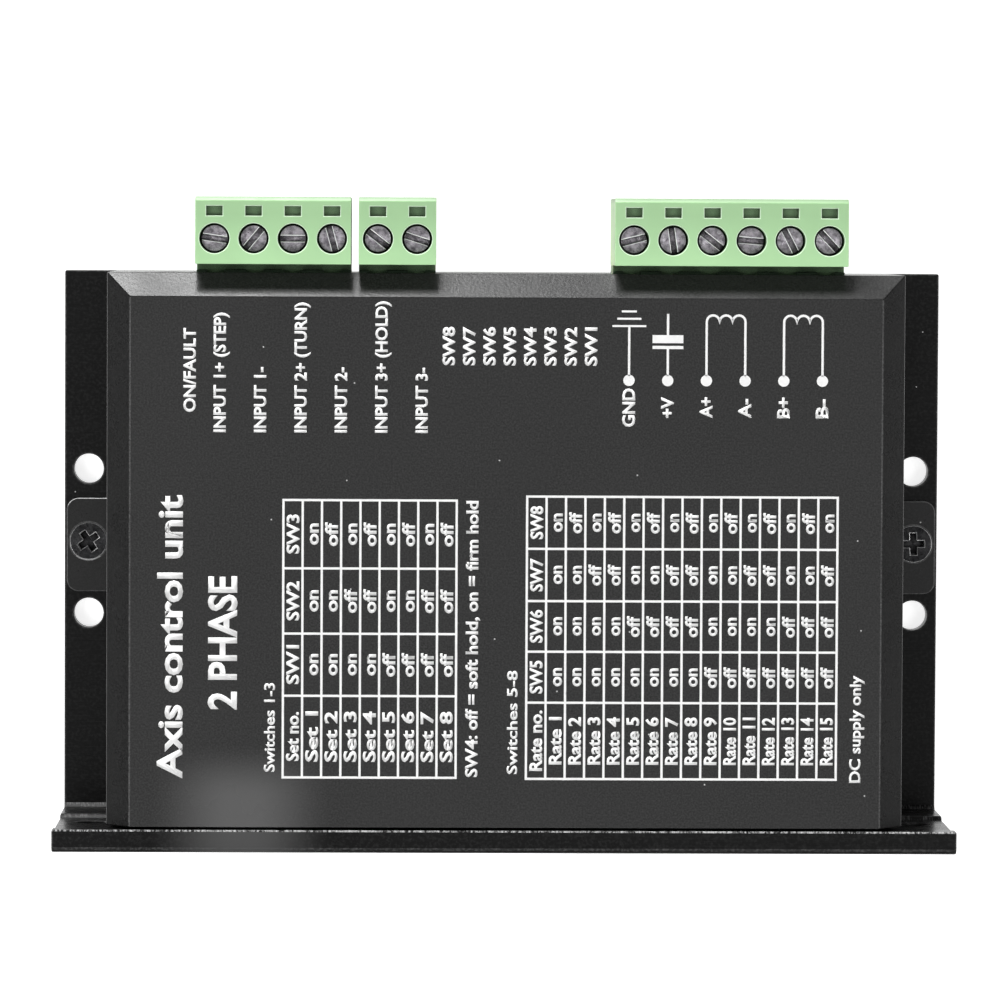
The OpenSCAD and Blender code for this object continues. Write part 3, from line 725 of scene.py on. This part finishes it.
def ribbon(bm, points, width):
    """A flat line of even width along points, with square ends and mitred turns."""
    points = [Vector(p).to_2d() for p in points]
    rows = []
    for i, here in enumerate(points):
        before = (here - points[i - 1]).normalized() if i else None
        after = (points[i + 1] - here).normalized() if i + 1 < len(points) else None
        ahead = ((before or after) + (after or before)).normalized()
        side = Vector((-ahead.y, ahead.x))
        reach = width / 2 / max(SHARPEST_MITRE, abs(ahead.dot(before or after)))
        rows.append([bm.verts.new((*(here + side * s * reach), 0)) for s in (-1, 1)])
    for (a, b), (c, d) in zip(rows, rows[1:]):
        bm.faces.new((a, b, d, c))


def dot(bm, x, y, radius, steps=20):
    """A flat disc."""
    angles = [2 * math.pi * k / steps for k in range(steps)]
    bm.faces.new([bm.verts.new((x + radius * math.cos(a), y + radius * math.sin(a), 0)) for a in angles])


def grid(bm, x_lines, y_lines, width):
    """Table rules without overlaps: a lattice whose narrow strips are filled."""
    def edges(lines):
        return [edge for line in sorted(lines) for edge in (line - width / 2, line + width / 2)]
    xs, ys = edges(x_lines), edges(y_lines)
    verts = {(i, j): bm.verts.new((x, y, 0)) for i, x in enumerate(xs) for j, y in enumerate(ys)}
    for i in range(len(xs) - 1):
        for j in range(len(ys) - 1):
            if i % 2 == 0 or j % 2 == 0:
                bm.faces.new([verts[i, j], verts[i + 1, j], verts[i + 1, j + 1], verts[i, j + 1]])


# Terminal labels stand about one pole spacing apart, beside the plugs
LABEL_START = -15.8 * MM
LABEL_TOP_X = 38.0 * MM
LABEL_STEP = 5.24 * MM
LABEL_CAP = 1.5 * MM
INPUT_LABELS = ("INPUT 1+ (STEP)", "INPUT 1-", "INPUT 2+ (TURN)", "INPUT 2-", "INPUT 3+ (HOLD)", "INPUT 3-")
# From the middle of a label to its baseline, in mm
HALF_CAP = 0.75
# Switch labels: the middle of the first one and the step to the next in mm, their start and length
SWITCH_LABEL_X, SWITCH_LABEL_STEP = 7.55, 2.637
SWITCH_LABEL_START, SWITCH_LABEL_LENGTH = -24.6 * MM, 5 * MM

# Single lines of print: words, boldness, then start Y, baseline X, height of capitals and length in mm
LIGHTS_LABEL = ("ON/FAULT", BOLD, -18.4, 40.4, 1.5, 10.9)
TITLES = (
    ("Axis control unit", BOLD, 29.3, 42.1, 3.1, 36.9),
    ("2 PHASE", BOLD, 20.3, 35.05, 3.5, 17.4),
)
CAPTIONS = (
    ("Switches 1-3", THIN, 28.4, 30.0, 1.35, 11.6),
    ("SW4: off = soft hold, on = firm hold", BOLD, 29, 3.65, 1.5, 36),
    ("Switches 5-8", THIN, 28.6, -1.55, 1.3, 13.5),
    ("DC supply only", LIGHT, 29.6, -46.3, 1.4, 14),
)


def single_lines(bm, lines):
    """Adds rows of the kind above."""
    for words, bold, start_y, base_x, cap, length in lines:
        letters(bm, words, start_y * MM, base_x * MM, cap * MM, length * MM, bold)


def terminal_labels():
    """Names of the signal terminals, the lights and the switches."""
    bm = bmesh.new()
    for k, words in enumerate(INPUT_LABELS):
        letters(bm, words, LABEL_START, LABEL_TOP_X - LABEL_CAP - k * LABEL_STEP, LABEL_CAP)
    single_lines(bm, [LIGHTS_LABEL])
    for k in range(SWITCH_COUNT):
        base = (SWITCH_LABEL_X - HALF_CAP - SWITCH_LABEL_STEP * k) * MM
        letters(bm, f"SW{SWITCH_COUNT - k}", SWITCH_LABEL_START, base, LABEL_CAP, SWITCH_LABEL_LENGTH, HEAVY)
    print_piece("legend_labels", bm)


def titles():
    bm = bmesh.new()
    single_lines(bm, TITLES)
    print_piece("legend_titles", bm)


# The tables: height of their capitals, each one's top, row height and rows, and the Y of its rules in mm
CELL_CAP = 1.56 * MM
CURRENT_TOP, CURRENT_ROW, CURRENT_ROWS = 28.93 * MM, 2.5 * MM, 9
CURRENT_RULES = (29.1, 18.45, 10.35, 1.85, -7.03)
SPEED_TOP, SPEED_ROW, SPEED_ROWS = -2.72 * MM, 2.525 * MM, 16
SPEED_RULES = (29.2, 19.25, 12.6, 6.0, -0.8, -7.6)
# Lengths of their words in mm: heading, numbered setting, switch, on and off
CURRENT_WIDTHS = (6.4, 6.6, 5.1, 2.8, 3.1)
SPEED_WIDTHS = (7.9, 6.2, 4.3, 2.4, 2.75)


def table(name, top_x, step, rows, rules_mm, words):
    """A ruled table whose rows follow one another along -X and whose columns follow along -Y."""
    bm = bmesh.new()
    rules = [y * MM for y in rules_mm]
    grid(bm, [top_x - step * k for k in range(rows + 1)], rules, LINE_W)
    for row in range(rows):
        base = top_x - step * (row + 0.5) - CELL_CAP / 2
        for column in range(len(rules) - 1):
            text, taken = words(row, column)
            middle = (rules[column] + rules[column + 1]) / 2
            letters(bm, text, middle + taken / 2, base, CELL_CAP, taken)
    print_piece(name, bm)


def set_words(label, first_switch, columns, widths):
    """Words of a setting table: numbered settings, and the switch states that count them in binary."""
    head, number, switch, on, off = (w * MM for w in widths)

    def words(row, column):
        if column == 0:
            return (f"{label} {row}", number) if row else (f"{label} no.", head)
        if row == 0:
            return f"SW{first_switch + column - 1}", switch
        return ("off", off) if row - 1 >> columns - column & 1 else ("on", on)
    return words


def tables():
    set_text = set_words("Set", first_switch=1, columns=3, widths=CURRENT_WIDTHS)
    rate_text = set_words("Rate", first_switch=5, columns=4, widths=SPEED_WIDTHS)
    table("legend_current_table", CURRENT_TOP, CURRENT_ROW, CURRENT_ROWS, CURRENT_RULES, set_text)
    table("legend_speed_table", SPEED_TOP, SPEED_ROW, SPEED_ROWS, SPEED_RULES, rate_text)
    bm = bmesh.new()
    single_lines(bm, CAPTIONS)
    print_piece("legend_captions", bm)


def coil(bm, x_left, x_right, foot_y, shoulder_y, bumps=3):
    """Two leads that rise from their dots into a row of round turns."""
    radius = (x_left - x_right) / (2 * bumps)
    turn_steps = 10
    too_near = 0.01 * MM
    points = [(x_left, foot_y)]
    for b in range(bumps):
        centre = x_left - radius * (2 * b + 1)
        for k in range(turn_steps + 1):
            angle = math.pi * k / turn_steps
            points.append((centre + radius * math.cos(angle), shoulder_y - radius * math.sin(angle)))
    points.append((x_right, foot_y))
    kept = [points[0]]
    for p in points[1:]:
        if (Vector(p) - Vector(kept[-1])).length > too_near:
            kept.append(p)
    ribbon(bm, kept, LINE_W)


# The power plug's terminals: words, start Y and length in mm
POWER_LABELS = (("GND", -16.7, 5.0), ("+V", -17.9, 2.7), ("A+", -17.9, 2.7), ("A-", -17.9, 2.5),
                ("B+", -17.9, 2.7), ("B-", -17.9, 2.5))
POWER_LABEL_CAP = 1.55 * MM
SYMBOL_X, SYMBOL_STEP = -15.86 * MM, 5.03 * MM
DOT_Y, DOT_RADIUS = -22.75 * MM, 0.74 * MM
LEAD_Y = DOT_Y - 0.6 * MM
COIL_Y = -30.4 * MM
# Earth sign: the end of its lead, and in mm each bar's Y and half length, and half a bar's thickness
EARTH_Y = -29.68 * MM
EARTH_BARS = ((-29.8, 2.2), (-30.75, 1.56), (-31.7, 0.98))
EARTH_BAR_HALF = 0.13
# Capacitor sign: half a plate's length, each plate's far and near edge in mm, and its second lead
PLATE_HALF = 2 * MM
PLATES = ((-27.25, -26.84), (-28.65, -27.6))
FAR_LEAD_FROM, FAR_LEAD_TO = -28.66 * MM, -31.4 * MM


def symbols():
    """A dot, a lead and a symbol for each of the power plug's terminals."""
    bm = bmesh.new()
    xs = [SYMBOL_X - SYMBOL_STEP * k for k in range(len(POWER_LABELS))]
    earth_x, supply_x = xs[:2]
    for x in xs:
        dot(bm, x, DOT_Y, DOT_RADIUS)
    ribbon(bm, [(earth_x, LEAD_Y), (earth_x, EARTH_Y)], LINE_W)
    for y, half in EARTH_BARS:
        flat_quad(bm, earth_x - half * MM, (y - EARTH_BAR_HALF) * MM,
                  earth_x + half * MM, (y + EARTH_BAR_HALF) * MM)
    ribbon(bm, [(supply_x, LEAD_Y), (supply_x, PLATES[0][1] * MM)], LINE_W)
    for far, near in PLATES:
        flat_quad(bm, supply_x - PLATE_HALF, far * MM, supply_x + PLATE_HALF, near * MM)
    ribbon(bm, [(supply_x, FAR_LEAD_FROM), (supply_x, FAR_LEAD_TO)], LINE_W)
    for first, second in ((xs[2], xs[3]), (xs[4], xs[5])):
        coil(bm, first, second, LEAD_Y, COIL_Y)
    for x, (words, start, length) in zip(xs, POWER_LABELS):
        letters(bm, words, start * MM, x - HALF_CAP * MM, POWER_LABEL_CAP, length * MM, HEAVY)
    print_piece("legend_symbols", bm)


titles()
terminal_labels()
tables()
symbols()


# ---------------------------------------------------------------- stage, light and camera

# Floor, in metres: its size, and the distances from the middle where the paper darkens and its glow fades (a
# painted pool of light)
FLOOR_SIZE = 1.6
SHADE_FROM, SHADE_TO = 0.15, 0.4
GLOW_FROM, GLOW_TO = 0.1, 0.2
PAPER_LIGHT, PAPER_DARK, PAPER_SHADE = 0.74, 0.71, 0.85
GLOW = 1.1
# Lamps: name, place, aim, size and watts
LAMPS = (
    ("front", (0.22, -1.0, 0.16), (0, 0, 0.02), (0.4, 0.3), 15.5),
    ("left", (0.72, 0.1, 1.1), (0, 0, 0), (0.5, 0.5), 4.9),
    ("right", (-0.72, 0.1, 1.1), (0, 0, 0), (0.5, 0.5), 4.4),
    ("rear", (0.1, 0.85, 1.1), (0, 0, 0), (0.6, 0.5), 5.0),
    ("overhead", (0.03, 0.08, 1.3), (0, 0, 0), (0.7, 0.7), 1.65),
)
WORLD_STRENGTH = 0.12
# Camera: sensor width and lens in mm, its place, and its turn in degrees
SENSOR, LENS = 36, 208.3
EYE_PLACE = (15.68 * MM, -42.05 * MM, 785.3 * MM)
EYE_TURN = (-2.67, -1.125, 180.28)


def floor_material():
    """Pale paper that glows a little around the object, as under an overexposed product photo, and darkens
    further out: a painted pool of light.
    """
    r = Recipe("floor_paper", roughness=0.9)
    away = r.node("ShaderNodeVectorMath", operation="LENGTH")
    r.feed(away.inputs[0], r.place)
    paper = r.blend(r.spread(r.noise(8, 3), *EVEN), PAPER_LIGHT, PAPER_DARK)
    paper = r.scaled(paper, r.spread(away.outputs["Value"], SHADE_FROM, SHADE_TO, 1.0, PAPER_SHADE))
    r.tint(paper)
    r.feed(r.shader.inputs["Emission Color"], paper)
    glow = r.spread(away.outputs["Value"], GLOW_FROM, GLOW_TO, GLOW, 0.0)
    r.feed(r.shader.inputs["Emission Strength"], glow)
    return r.material


def make_floor():
    bm = bmesh.new()
    half = FLOOR_SIZE / 2
    flat_quad(bm, -half, -half, half, half)
    mesh = bpy.data.meshes.new("floor")
    bm.to_mesh(mesh)
    bm.free()
    mesh.materials.append(floor_material())
    floor = bpy.data.objects.new("floor", mesh)
    bpy.context.scene.collection.objects.link(floor)


def softbox(name, place, aim, size, watts):
    light = bpy.data.lights.new(name, "AREA")
    light.shape = "RECTANGLE"
    light.size, light.size_y = size
    light.energy = watts
    lamp = bpy.data.objects.new(name, light)
    bpy.context.scene.collection.objects.link(lamp)
    lamp.location = place
    lamp.rotation_euler = (Vector(aim) - Vector(place)).to_track_quat("-Z", "Y").to_euler()


def make_world():
    world = bpy.data.worlds.new("studio")
    bpy.context.scene.world = world
    world.use_nodes = True
    background = world.node_tree.nodes["Background"]
    background.inputs["Color"].default_value = (1, 1, 1, 1)
    background.inputs["Strength"].default_value = WORLD_STRENGTH


def make_camera():
    """Nearly straight down, a little off centre, with the connector side at the top of the picture."""
    camera = bpy.data.cameras.new("camera")
    camera.sensor_width = SENSOR
    camera.lens = LENS
    camera.clip_start = 0.02
    camera.clip_end = 20
    eye = bpy.data.objects.new("camera", camera)
    bpy.context.scene.collection.objects.link(eye)
    eye.location = EYE_PLACE
    eye.rotation_euler = [math.radians(turn) for turn in EYE_TURN]
    bpy.context.scene.camera = eye


make_floor()
make_world()
for lamp in LAMPS:
    softbox(*lamp)
make_camera()
bpy.context.scene.view_settings.view_transform = "Standard"
